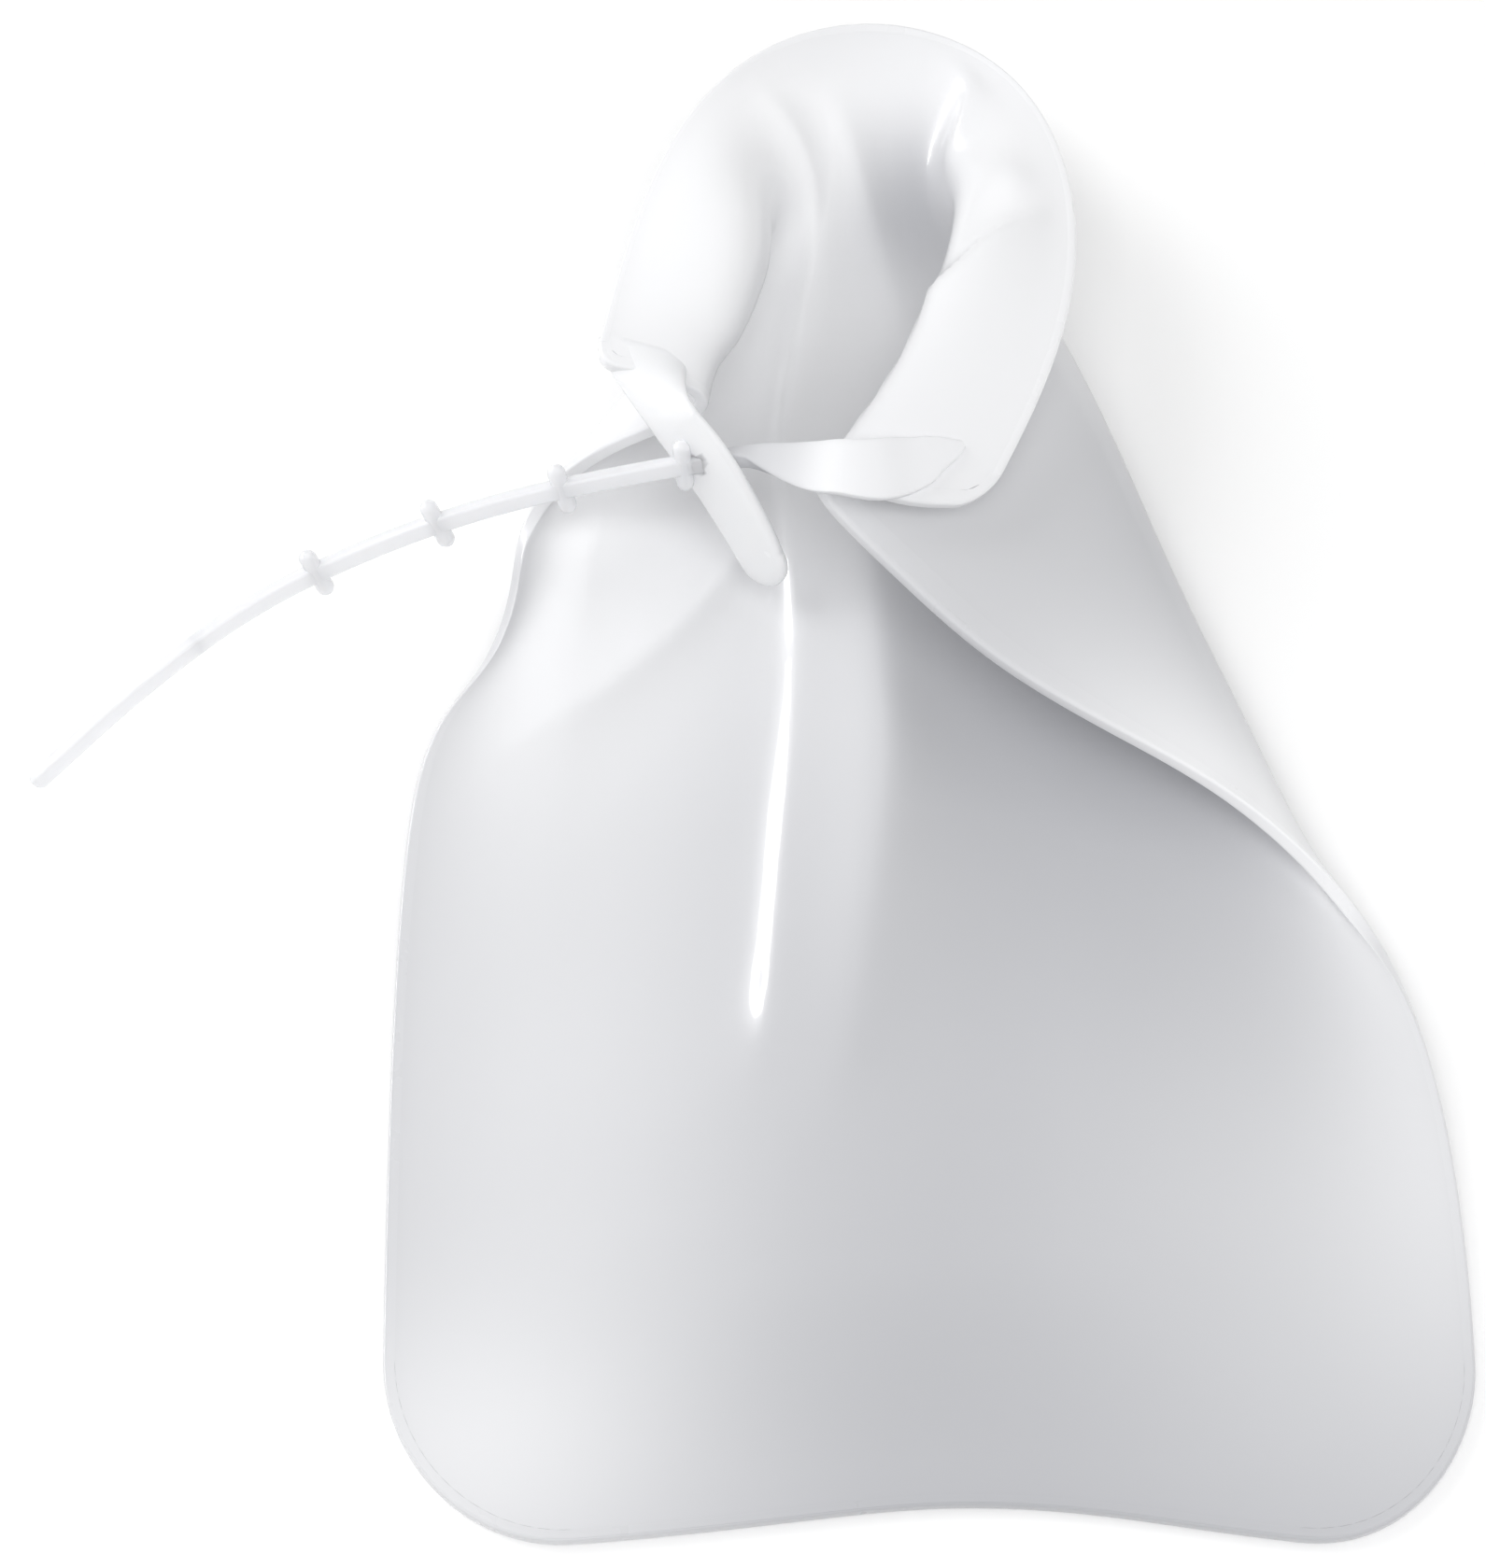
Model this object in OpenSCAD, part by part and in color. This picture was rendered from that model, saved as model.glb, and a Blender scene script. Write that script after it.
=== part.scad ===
// Reusable silicone storage bag, lying on its back with its mouth rolled up and held by its strap.
// +X is the right side, +Y runs from the bottom seam to the mouth, +Z is up from the table.
// The origin is on the flat underside, under the middle of the pouch.

/* [Walls] */
// Thickness of one silicone wall
wall = 1.1; // [0.8:0.1:1.5]
// Gap between the two walls where they lie together
ply_gap = 0.4; // [0.3:0.1:0.8]
// Width of the joined edge along the sides and the bottom
seam_w = 4; // [3:0.5:6]
// Radius of the two bottom corners, lying flat
corner_r = 35; // [25:1:45]
// Height of the lip along the mouth
lip_h = 2.2; // [1.5:0.1:4]
// How far the lip stands proud of its wall
lip_proud = 0.4; // [0.2:0.1:0.8]

/* [Pouch] */
// Clear height between the walls in the pouch
pouch_h = 17; // [8:1:22]
// Width of the rise from a side seam, as a share of half the width
pouch_side = 0.34; // [0.2:0.02:0.6]
// Length of the rise from the bottom seam
pouch_foot = 34; // [20:1:45]
// Length of the fall towards the neck
pouch_head = 62; // [40:1:80]

/* [Slot tab] */
// Thickness of the tab
tab_t = 2.4; // [2:0.1:3]
// Half width of the tab at its root
tab_root_w = 7.6; // [6.5:0.1:9]
// Radius of the tab's rounded tip
tab_tip_r = 4.6; // [3.5:0.1:5.5]
// Clearance between the strap and each side of its slot
slot_clear = 0.6; // [0.4:0.1:1]

/* [Strap] */
// Side of the strap's square section
strap_w = 3.2; // [2.8:0.1:3.6]
// Roll of the strap's section about its own length
strap_roll = 32; // [20:1:40]
// Diameter of a locking knob's bar
knob_d = 4; // [3.4:0.1:4.4]
// Length of a locking knob's bar
knob_len = 11; // [9:0.5:12]
// Distance from the slot to the knob that locks in it
knob_stand = 5.2; // [5:0.1:6]
// Clearance round each place where the strap bends
hinge_clear = 0.3; // [0.25:0.05:0.5]

/* [Hidden] */
$fn = 48;

// Distance from the bag's bottom edge to the origin under the pouch
rest_y = 60;
// Half the bag's width, lying flat
half_w = 100;
// Flat distance from the bottom edge to the top of the pouch, to the collar's fold and to the mouth
pouch_t = 100;
fold_t = 275;
mouth_t = 305;
// Thickness of the two walls together
plies = 2 * wall + ply_gap;
seam_colour = [0.86, 0.89, 0.93];
wall_colour = [0.93, 0.94, 0.96];
strap_colour = [0.9, 0.92, 0.95];

// The back wall's outer face is one smooth sheet. Each row below is one line across the bag, from the
// left edge to the right edge, and the rows run from the bottom edge to the mouth. ROW_T holds each
// row's distance from the bottom edge on the flat bag. The lower rows lie on the table, the middle
// ones curl the sides inwards and fold the right side over the front, and the last three turn the
// mouth outwards as a collar. y is measured from the bottom edge.
ROW_T = [0, 50, 104, 135, 165, 190, 215, 240, 262, 275, 290, 305];
ROWS = [
    [[-97, 6, 0], [-73, 6, 0], [-49, 8, 0], [-24, 11, 0], [0, 14, 0],
        [25, 13, 0], [49, 9, 0], [73, 6, 0], [95, 5, 0]],
    [[-98, 55, 0], [-74, 55, 0], [-49, 55, 0], [-25, 56, 0], [0, 57, 0],
        [25, 57, 0], [49, 56, 0], [73, 55, 0], [97, 55, 0]],
    [[-98, 104, 1], [-75, 104, 0], [-50, 105, 0], [-25, 105, 0], [0, 106, 0],
        [25, 106, 0], [50, 105, 0], [74, 105, 0], [92, 103, 3]],
    [[-97, 134, 5], [-74, 136, 1], [-50, 138, 0], [-26, 139, 0], [-2, 140, 0],
        [23, 140, 0], [48, 139, 0], [72, 138, 2], [79, 127, 10]],
    [[-93, 158, 10], [-72, 164, 3], [-50, 167, 0], [-27, 169, 0], [-4, 170, 0],
        [20, 169, 0], [44, 167, 1], [68, 164, 6], [55, 145, 19]],
    [[-81, 174, 13], [-70, 185, 5], [-50, 191, 2], [-29, 194, 0], [-7, 195, 0],
        [16, 195, 1], [39, 194, 3], [58, 186, 11], [34, 153, 26]],
    [[-76, 190, 16], [-68, 203, 9], [-51, 213, 3], [-31, 219, 1], [-9, 220, 1],
        [13, 220, 2], [35, 219, 5], [48, 208, 16], [11, 164, 33]],
    [[-75, 205, 19], [-64, 219, 13], [-50, 234, 7], [-32, 242, 3], [-10, 245, 3],
        [11, 244, 4], [31, 240, 9], [36, 225, 24], [-6, 179, 39]],
    [[-60, 216, 27], [-57, 231, 20], [-47, 249, 14], [-32, 263, 7], [-10, 267, 6],
        [10, 266, 7], [26, 258, 15], [18, 232, 34], [-20, 191, 44]],
    [[-41, 216, 33], [-39, 236, 31], [-33, 257, 30], [-26, 276, 16], [-9, 282, 10],
        [8, 279, 15], [5, 256, 34], [-3, 228, 42], [-20, 198, 47]],
    [[-48, 220, 37], [-48, 244, 37], [-43, 270, 33], [-31, 289, 22], [-8, 297, 17],
        [14, 290, 22], [16, 259, 36], [10, 227, 42], [-8, 192, 44]],
    [[-62, 221, 40], [-58, 248, 34], [-49, 280, 29], [-29, 306, 23], [-4, 312, 21],
        [21, 297, 24], [31, 262, 30], [26, 226, 36], [9, 196, 38]],
];

// Cubic B-spline weights and their slopes, and the sums that they weight
function weights(a) = [pow(1 - a, 3), 3 * pow(a, 3) - 6 * a * a + 4, -3 * pow(a, 3) + 3 * a * a + 3 * a + 1,
    pow(a, 3)] / 6;
function slopes(a) = [-pow(1 - a, 2), 3 * a * a - 4 * a, -3 * a * a + 2 * a + 1, a * a] / 2;
function blend(list, i, w) = w[0] * list[i] + w[1] * list[i + 1] + w[2] * list[i + 2] + w[3] * list[i + 3];
function padded(list) = concat([2 * list[0] - list[1]], list, [2 * list[len(list) - 1] - list[len(list) - 2]]);
function span(a, last) = min(floor(a), last - 1);
function unit(v) = v / norm(v);

NET = padded([for (row = ROWS) padded(row)]);
T_NET = padded(ROW_T);
last_row = len(ROWS) - 1;
last_col = len(ROWS[0]) - 1;

// Row parameter of a flat distance from the bottom edge, found by halving
function flat_t(v) = let (i = span(v, last_row)) blend(T_NET, i, weights(v - i));
function row_at(t, lo = 0, hi = last_row, steps = 16) =
    let (mid = (lo + hi) / 2)
    steps == 0 ? mid : flat_t(mid) < t ? row_at(t, mid, hi, steps - 1) : row_at(t, lo, mid, steps - 1);

// One line across the sheet at flat distance t, with its slope towards the mouth
function line_at(t) =
    let (v = t >= mouth_t ? last_row : t <= 0 ? 0 : row_at(t), i = span(v, last_row))
    [blend(NET, i, weights(v - i)), blend(NET, i, slopes(v - i))];

// A point at flat position s on such a line, raised off the sheet by lift
function on_line(line, s, lift) =
    let (u = (s / half_w + 1) * last_col / 2, j = span(u, last_col), w = weights(u - j),
        along = blend(line[0], j, slopes(u - j)), up = blend(line[1], j, w))
    blend(line[0], j, w) + lift * unit(cross(along, up)) - [0, rest_y, 0];
function on_sheet(s, t, lift) = on_line(line_at(t), s, lift);

// Space between the walls: a soft pillow over the pouch, and a thin gap everywhere else
function ease(x) = let (c = min(1, max(0, x))) c * c * (3 - 2 * c);
function swell(k, t) = pouch_h * ease((1 - abs(k)) / pouch_side) * ease((t - seam_w) / pouch_foot)
    * ease((pouch_t + 52 - t) / pouch_head);

// Half the width inside the seams at flat distance t
function inner_w(t) = t >= corner_r ? half_w - seam_w
    : half_w - corner_r + sqrt(pow(corner_r - seam_w, 2) - pow(corner_r - t, 2));

COLUMNS = [for (i = [-10:10]) i / 10];
CORNER = [0, 18, 36, 54, 72, 90];
POUCH_T = concat([for (a = CORNER) corner_r - (corner_r - seam_w) * cos(a)],
    [for (i = [1:4]) corner_r + (pouch_t - corner_r) * i / 4]);
NECK_T = [for (i = [0:18]) pouch_t + (fold_t - pouch_t) * i / 18];
COLLAR_T = [for (i = [0:5]) fold_t + (mouth_t - lip_h - fold_t) * i / 5];
LIP_T = [mouth_t - lip_h, mouth_t];

// Closed solid between two grids of points with the same rows and columns
module slab(low, high) {
    m = len(low);
    n = len(low[0]);
    function at(layer, i, j) = (layer * m + i) * n + j;
    faces = concat(
        [for (i = [0:m - 2]) for (j = [0:n - 2]) each [
            [at(0, i, j), at(0, i, j + 1), at(0, i + 1, j + 1), at(0, i + 1, j)],
            [at(1, i, j), at(1, i + 1, j), at(1, i + 1, j + 1), at(1, i, j + 1)]]],
        [for (j = [0:n - 2]) each [
            [at(0, 0, j), at(1, 0, j), at(1, 0, j + 1), at(0, 0, j + 1)],
            [at(0, m - 1, j), at(0, m - 1, j + 1), at(1, m - 1, j + 1), at(1, m - 1, j)]]],
        [for (i = [0:m - 2]) each [
            [at(0, i, 0), at(0, i + 1, 0), at(1, i + 1, 0), at(1, i, 0)],
            [at(0, i, n - 1), at(1, i, n - 1), at(1, i + 1, n - 1), at(0, i + 1, n - 1)]]]);
    points = concat([for (row = low) each row], [for (row = high) each row]);
    polyhedron(points, [for (q = faces) each [[q[0], q[1], q[2]], [q[0], q[2], q[3]]]]);
}

// Part of the back wall or the front wall, between the side seams; proud thickens it outwards
module back_part(ts, proud = 0) {
    lines = [for (t = ts) line_at(t)];
    function grid(lift) = [for (i = [0:len(ts) - 1]) [for (k = COLUMNS) on_line(lines[i], k * inner_w(ts[i]), lift)]];
    slab(grid(-proud), grid(wall));
}

module front_part(ts, proud = 0) {
    lines = [for (t = ts) line_at(t)];
    function grid(lift) = [for (i = [0:len(ts) - 1])
        [for (k = COLUMNS) on_line(lines[i], k * inner_w(ts[i]), lift + swell(k, ts[i]))]];
    slab(grid(wall + ply_gap), grid(plies + proud));
}

// Strip between the inner and the outer outline; each pair is [[inner s, t], [outer s, t]]
module seam_strip(pairs) {
    function grid(lift) = [for (p = pairs) [for (q = p) on_sheet(q[0], q[1], lift)]];
    slab(grid(0), grid(plies));
}

function corner_pair(side, a) = [for (r = [corner_r - seam_w, corner_r])
    [side * (half_w - corner_r + r * sin(a)), corner_r - r * cos(a)]];
function side_pair(side, t) = [[side * (half_w - seam_w), t], [side * half_w, t]];
SIDE_T = concat([for (t = POUCH_T) if (t >= corner_r) t], [for (i = [1:18]) NECK_T[i]],
    [for (i = [1:5]) COLLAR_T[i]], [mouth_t]);

module back_panel() {
    color(wall_colour) back_part(POUCH_T);
}

module front_panel() {
    color(wall_colour) front_part(POUCH_T);
}

module back_neck() {
    color(wall_colour) back_part(NECK_T);
}

module front_neck() {
    color(wall_colour) front_part(NECK_T);
}

module back_collar() {
    color(wall_colour) back_part(COLLAR_T);
}

module front_collar() {
    color(wall_colour) front_part(COLLAR_T);
}

module back_lip() {
    color(seam_colour) back_part(LIP_T, lip_proud);
}

module front_lip() {
    color(seam_colour) front_part(LIP_T, lip_proud);
}

module bottom_seam() {
    flat = half_w - corner_r;
    color(seam_colour) seam_strip(concat(
        [for (i = [5:-1:1]) corner_pair(-1, CORNER[i])],
        [for (k = COLUMNS) [[k * flat, seam_w], [k * flat, 0]]],
        [for (i = [1:5]) corner_pair(1, CORNER[i])]));
}

module left_seam() {
    color(seam_colour) seam_strip([for (i = [len(SIDE_T) - 1:-1:0]) side_pair(-1, SIDE_T[i])]);
}

module right_seam() {
    color(seam_colour) seam_strip([for (t = SIDE_T) side_pair(1, t)]);
}

// Slot tab: a tongue from the collar's left corner, with its tip bending beyond the slot.
// Its own x runs from root to tip, y across it and z out of its face.
tab_from = [-52, 215 - rest_y, 42];
tab_to = [-28, 186 - rest_y, 20];
tab_roll = 66;
tab_len = norm(tab_to - tab_from);
slot_x = 18.5;
tab_bend_x = 26.5;

// Strap: a bar through the slot, bending at each of these points down to its tip on the table
slot_at = [-41.5, 203.5 - rest_y, 34.5];
BENDS = [[-55.2, 201 - rest_y, 34.5], [-79.7, 199 - rest_y, 27], [-102.4, 196 - rest_y, 16.5],
    [-126, 188 - rest_y, 8.4], [-147.4, 172 - rest_y, 4.4], [-166.6, 152.5 - rest_y, 2.7]];
strap_way = unit(BENDS[0] - slot_at);
strap_from = slot_at - 10.5 * strap_way;
STARTS = concat([strap_from], BENDS);
root_end = [-24.5, 202 - rest_y, 37.5];
bridge_gap = 1.4;

// Puts x along the way from p to q, rolled about it
module along(p, q, roll) {
    d = q - p;
    translate(p) rotate([0, -asin(d.z / norm(d)), atan2(d.y, d.x)]) rotate([roll, 0, 0]) children();
}

module in_tab() {
    along(tab_from, tab_to, tab_roll) children();
}

module tab_outline() {
    polygon([[0, -tab_root_w], [slot_x, -6.8], [tab_len - tab_tip_r, -tab_tip_r],
        [tab_len - tab_tip_r, tab_tip_r], [slot_x, 6.8], [0, tab_root_w]]);
    translate([tab_len - tab_tip_r, 0]) circle(tab_tip_r);
}

module tab_plate(from_x, to_x) {
    translate([0, 0, -tab_t / 2]) linear_extrude(tab_t) intersection() {
        tab_outline();
        translate([from_x, -10]) square([to_x - from_x, 20]);
    }
}

module across_tab(r) {
    translate([tab_bend_x, 0, 0]) rotate([90, 0, 0]) cylinder(r = r, h = 24, center = true);
}

module tab_root() {
    corner = on_sheet(-half_w + seam_w / 2, mouth_t, plies / 2);
    crest = on_sheet(-half_w + seam_w / 2, mouth_t - 14, plies / 2);
    color(seam_colour) hull() {
        translate(corner) sphere(d = plies, $fn = 16);
        translate(crest) sphere(d = plies, $fn = 16);
        in_tab() translate([-0.6, 0, 0]) cube([1, 2 * tab_root_w, tab_t], center = true);
    }
}

module slot_tab() {
    color(seam_colour) difference() {
        in_tab() difference() {
            tab_plate(0, tab_bend_x);
            across_tab(tab_t / 2 + hinge_clear);
        }
        along(slot_at - 12 * strap_way, slot_at + 12 * strap_way, strap_roll)
            translate([12, 0, 0]) cube([24, strap_w + 2 * slot_clear, strap_w + 2 * slot_clear], center = true);
    }
}

module tab_tip() {
    color(seam_colour) in_tab() union() {
        tab_plate(tab_bend_x, tab_len);
        intersection() {
            across_tab(tab_t / 2);
            tab_plate(tab_bend_x - tab_t / 2, tab_bend_x + tab_t / 2);
        }
    }
}

module strap_root() {
    low = on_sheet(half_w - seam_w / 2, fold_t - 8, plies / 2);
    high = on_sheet(half_w - seam_w / 2, fold_t + 3, plies / 2);
    color(strap_colour) hull() {
        translate(low) sphere(d = plies, $fn = 16);
        translate(high) sphere(d = plies, $fn = 16);
        along(root_end, strap_from, strap_roll)
            translate([-0.5, 0, 0]) cube([1, strap_w, strap_w + 2], center = true);
    }
}

module strap_bridge() {
    reach = norm(strap_from - root_end);
    color(strap_colour) along(root_end, strap_from, strap_roll) hull() {
        translate([0.5, 0, 0]) cube([1, strap_w, strap_w + 2], center = true);
        translate([reach - bridge_gap - 0.5, 0, 0]) cube([1, strap_w, strap_w], center = true);
    }
}

// Bar from one bend to the next: a round heel on its own bend, a hollow toe round the next one's heel
module strap_bar(i, heel = true, toe = true) {
    reach = norm(STARTS[i + 1] - STARTS[i]);
    difference() {
        along(STARTS[i], STARTS[i + 1], strap_roll) union() {
            translate([0, -strap_w / 2, -strap_w / 2]) cube([reach, strap_w, strap_w]);
            if (heel) rotate([90, 0, 0]) cylinder(d = strap_w, h = strap_w, center = true);
        }
        if (toe) along(STARTS[i + 1], STARTS[i + 2], strap_roll) rotate([90, 0, 0])
            cylinder(r = strap_w / 2 + hinge_clear, h = 3 * strap_w, center = true);
    }
}

// Locking knob: a round-ended bar across the strap, at distance x along bar i
module knob(i, x) {
    straight = knob_len / 2 - knob_d / 2;
    along(STARTS[i], STARTS[i + 1], strap_roll) translate([x, 0, 0]) difference() {
        union() {
            cylinder(d = knob_d, h = 2 * straight, center = true);
            for (z = [-straight, straight]) translate([0, 0, z]) sphere(d = knob_d);
        }
        cube([2 * knob_d, strap_w, strap_w], center = true);
    }
}

function half_way(i) = norm(STARTS[i + 1] - STARTS[i]) / 2;

module strap_link_1() {
    color(strap_colour) strap_bar(0, heel = false);
}

module strap_link_2() {
    color(strap_colour) strap_bar(1);
}

module strap_link_3() {
    color(strap_colour) strap_bar(2);
}

module strap_link_4() {
    color(strap_colour) strap_bar(3);
}

module strap_link_5() {
    color(strap_colour) strap_bar(4);
}

module strap_tip() {
    color(strap_colour) strap_bar(5, toe = false);
}

module lock_knob_1() {
    color(seam_colour) knob(0, norm(slot_at - strap_from) + knob_stand);
}

module lock_knob_2() {
    color(seam_colour) knob(1, half_way(1));
}

module lock_knob_3() {
    color(seam_colour) knob(2, half_way(2));
}

module lock_knob_4() {
    color(seam_colour) knob(3, half_way(3));
}

back_panel();
front_panel();
back_neck();
front_neck();
back_collar();
front_collar();
back_lip();
front_lip();
bottom_seam();
left_seam();
right_seam();
tab_root();
slot_tab();
tab_tip();
strap_root();
strap_bridge();
strap_link_1();
strap_link_2();
strap_link_3();
strap_link_4();
strap_link_5();
strap_tip();
lock_knob_1();
lock_knob_2();
lock_knob_3();
lock_knob_4();
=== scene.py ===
import math

import bmesh
import bpy
import numpy as np
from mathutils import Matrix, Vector


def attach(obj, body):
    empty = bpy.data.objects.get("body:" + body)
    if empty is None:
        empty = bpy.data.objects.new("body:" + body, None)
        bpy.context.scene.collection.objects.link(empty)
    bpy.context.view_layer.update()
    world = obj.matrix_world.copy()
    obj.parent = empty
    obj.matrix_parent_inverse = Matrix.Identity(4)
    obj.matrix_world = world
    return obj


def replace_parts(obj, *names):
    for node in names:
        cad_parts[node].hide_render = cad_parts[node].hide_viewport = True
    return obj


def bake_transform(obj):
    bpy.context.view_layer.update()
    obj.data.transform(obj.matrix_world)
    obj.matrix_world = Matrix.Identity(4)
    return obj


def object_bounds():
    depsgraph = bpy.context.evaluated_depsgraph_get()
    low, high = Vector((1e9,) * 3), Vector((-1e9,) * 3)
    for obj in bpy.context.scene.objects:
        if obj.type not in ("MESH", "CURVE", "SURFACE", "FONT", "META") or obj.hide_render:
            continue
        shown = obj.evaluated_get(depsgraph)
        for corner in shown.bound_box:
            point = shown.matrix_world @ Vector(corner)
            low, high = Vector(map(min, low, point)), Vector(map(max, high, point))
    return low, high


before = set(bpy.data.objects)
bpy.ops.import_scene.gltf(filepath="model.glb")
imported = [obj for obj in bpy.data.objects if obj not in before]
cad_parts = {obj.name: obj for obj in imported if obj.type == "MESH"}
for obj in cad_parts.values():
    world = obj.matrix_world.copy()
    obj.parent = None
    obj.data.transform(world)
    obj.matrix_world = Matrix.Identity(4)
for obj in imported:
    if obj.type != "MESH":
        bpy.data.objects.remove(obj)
cad_low, cad_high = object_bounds()

MM = 0.001

# ---------------------------------------------------------------- the bag's sheet
# Built the way part.scad builds it, with some rows moved to follow the photo more closely.
# Flat position on the bag: s runs across it, -100 to 100 mm, and t runs from the bottom edge, 0 to 305 mm.
REST_Y = 60
HALF_W = 100
CORNER_R = 35
SEAM_W = 2.2
WALL = 1.1
GAP = 0.4
PLIES = 2 * WALL + GAP
MOUTH_T = 305
MOUTH_R = 5
LIP_H = 1.4
LIP_PROUD = 0.15
POUCH_H = 13        # the pouch's fullness, and how far from its edges and its top it takes to reach it
POUCH_SIDE = 0.75
POUCH_FOOT = 55
POUCH_TOP_T = 165
POUCH_TOP = 90
FOLDS_FROM_T = 150  # the back wall takes on the folds over this stretch
FOLDS_OVER = 50

ROW_T = [0, 50, 104, 135, 165, 190, 215, 240, 262, 275, 290, 305]
ROWS = [
    [[-97, 6, 0], [-73, 6, 0], [-49, 8, 0], [-24, 11, 0], [0, 14, 0],
     [25, 13, 0], [49, 9, 0], [73, 6, 0], [95, 5, 0]],
    [[-98, 55, 0], [-74, 55, 0], [-49, 55, 0], [-25, 56, 0], [0, 57, 0],
     [25, 57, 0], [49, 56, 0], [73, 55, 0], [97, 55, 0]],
    [[-98, 104, 1], [-75, 104, 0], [-50, 105, 0], [-25, 105, 0], [0, 106, 0],
     [25, 106, 0], [50, 105, 0], [74, 105, 0], [92, 103, 3]],
    [[-97, 134, 5], [-74, 136, 1], [-50, 138, 0], [-26, 139, 0], [-2, 140, 0],
     [23, 140, 0], [48, 139, 0], [72, 138, 2], [79, 127, 10]],
    [[-94, 160, 9], [-72, 164, 3], [-50, 167, 0], [-27, 169, 0], [-4, 170, 0],
     [20, 169, 0], [44, 167, 1], [68, 164, 6], [55, 145, 19]],
    [[-82, 174, 8], [-70, 185, 4], [-50, 191, 2], [-29, 194, 0], [-7, 195, 0],
     [16, 195, 1], [39, 194, 3], [58, 186, 11], [34, 153, 26]],
    [[-77, 190, 11], [-68, 203, 7], [-51, 213, 3], [-31, 219, 1], [-9, 220, 1],
     [13, 220, 2], [35, 219, 5], [48, 208, 16], [11, 164, 33]],
    [[-77, 203, 15], [-64, 219, 12], [-50, 234, 7], [-32, 242, 3], [-10, 245, 3],
     [11, 244, 4], [31, 240, 9], [36, 225, 24], [-6, 179, 39]],
    [[-62, 213, 25.5], [-57, 231, 20], [-47, 249, 14], [-32, 263, 7], [-10, 267, 6],
     [10, 266, 7], [26, 258, 15], [18, 232, 34], [-20, 191, 44]],
    [[-38, 216, 33], [-32, 235, 31], [-30, 257, 30], [-26, 276, 16], [-9, 282, 10],
     [8, 279, 15], [5, 256, 34], [-3, 227, 42], [-20, 195, 47]],
    [[-48, 219, 37], [-47, 244, 37], [-41, 270, 33], [-31, 288, 22], [-8, 296, 17],
     [14, 290, 22], [16, 259, 36], [10, 226, 42], [-7, 188, 44]],
    [[-62, 220, 40], [-56, 248, 34], [-46, 281, 29], [-30, 304, 23], [-4, 311, 21],
     [21, 297, 24], [31, 262, 30], [26, 225, 36], [10, 192, 38]],
]


def padded(points):
    """The list with one phantom point added beyond each end, in line with its last two."""
    return np.concatenate([[2 * points[0] - points[1]], points, [2 * points[-1] - points[-2]]])


def weights(a):
    """The four cubic B-spline weights at a, from 0 to 1 along a span."""
    return np.stack([(1 - a) ** 3, 3 * a**3 - 6 * a * a + 4, -3 * a**3 + 3 * a * a + 3 * a + 1, a**3], -1) / 6


def slopes(a):
    """The derivatives of weights."""
    return np.stack([-((1 - a) ** 2), 3 * a * a - 4 * a, -3 * a * a + 2 * a + 1, a * a], -1) / 2


ROW_T = np.array(ROW_T, float)
NET = padded(padded(np.array(ROWS, float)).transpose(1, 0, 2)).transpose(1, 0, 2)
LAST_ROW = len(ROWS) - 1
LAST_COL = len(ROWS[0]) - 1
FINE_V = np.linspace(0, LAST_ROW, 4401)
SPAN_V = np.minimum(FINE_V.astype(int), LAST_ROW - 1)
FINE_T = sum(weights(FINE_V - SPAN_V)[:, k] * padded(ROW_T)[SPAN_V + k] for k in range(4))


def sheet(s, t):
    """(points, normals) of the back wall's outer face at flat positions, in mm in the row frame."""
    s, t = np.broadcast_arrays(np.asarray(s, float), np.asarray(t, float))
    v = np.interp(t, FINE_T, FINE_V)
    u = np.clip((s / HALF_W + 1) * LAST_COL / 2, 0, LAST_COL)
    i = np.minimum(v.astype(int), LAST_ROW - 1)
    j = np.minimum(u.astype(int), LAST_COL - 1)
    wv, dv, wu, du = weights(v - i), slopes(v - i), weights(u - j), slopes(u - j)
    point, along, up = 0, 0, 0
    for a in range(4):
        for b in range(4):
            c = NET[i + a, j + b]
            point = point + (wv[..., a] * wu[..., b])[..., None] * c
            along = along + (wv[..., a] * du[..., b])[..., None] * c
            up = up + (dv[..., a] * wu[..., b])[..., None] * c
    normal = np.cross(along, up)
    normal /= np.linalg.norm(normal, axis=-1, keepdims=True)
    return point - np.array([0, REST_Y, 0]), normal


def ease(x):
    """A smooth step from 0 to 1 as x goes from 0 to 1."""
    c = np.clip(x, 0, 1)
    return c * c * (3 - 2 * c)


def inner_w(t):
    """Half the width inside the side seams at flat distance t."""
    low_r, high_r = CORNER_R - SEAM_W, MOUTH_R - SEAM_W
    low_drop = np.maximum(0, CORNER_R - t)
    high_drop = np.maximum(0, t - (MOUTH_T - MOUTH_R))
    return np.where(t < MOUTH_T / 2,
                    HALF_W - CORNER_R + np.sqrt(np.maximum(0, low_r**2 - low_drop**2)),
                    HALF_W - MOUTH_R + np.sqrt(np.maximum(0, high_r**2 - high_drop**2)))


def swell(k, t):
    """Space between the walls: the soft pillow over the pouch, with no flat top."""
    return (POUCH_H * ease((1 - abs(k)) / POUCH_SIDE) * ease((t - SEAM_W) / POUCH_FOOT)
            * ease((POUCH_TOP_T - t) / POUCH_TOP))


def fold_share(t):
    """How much of the folds the back wall and the rim take on: none over the pouch, all from the neck up."""
    return ease((t - FOLDS_FROM_T) / FOLDS_OVER)


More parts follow.
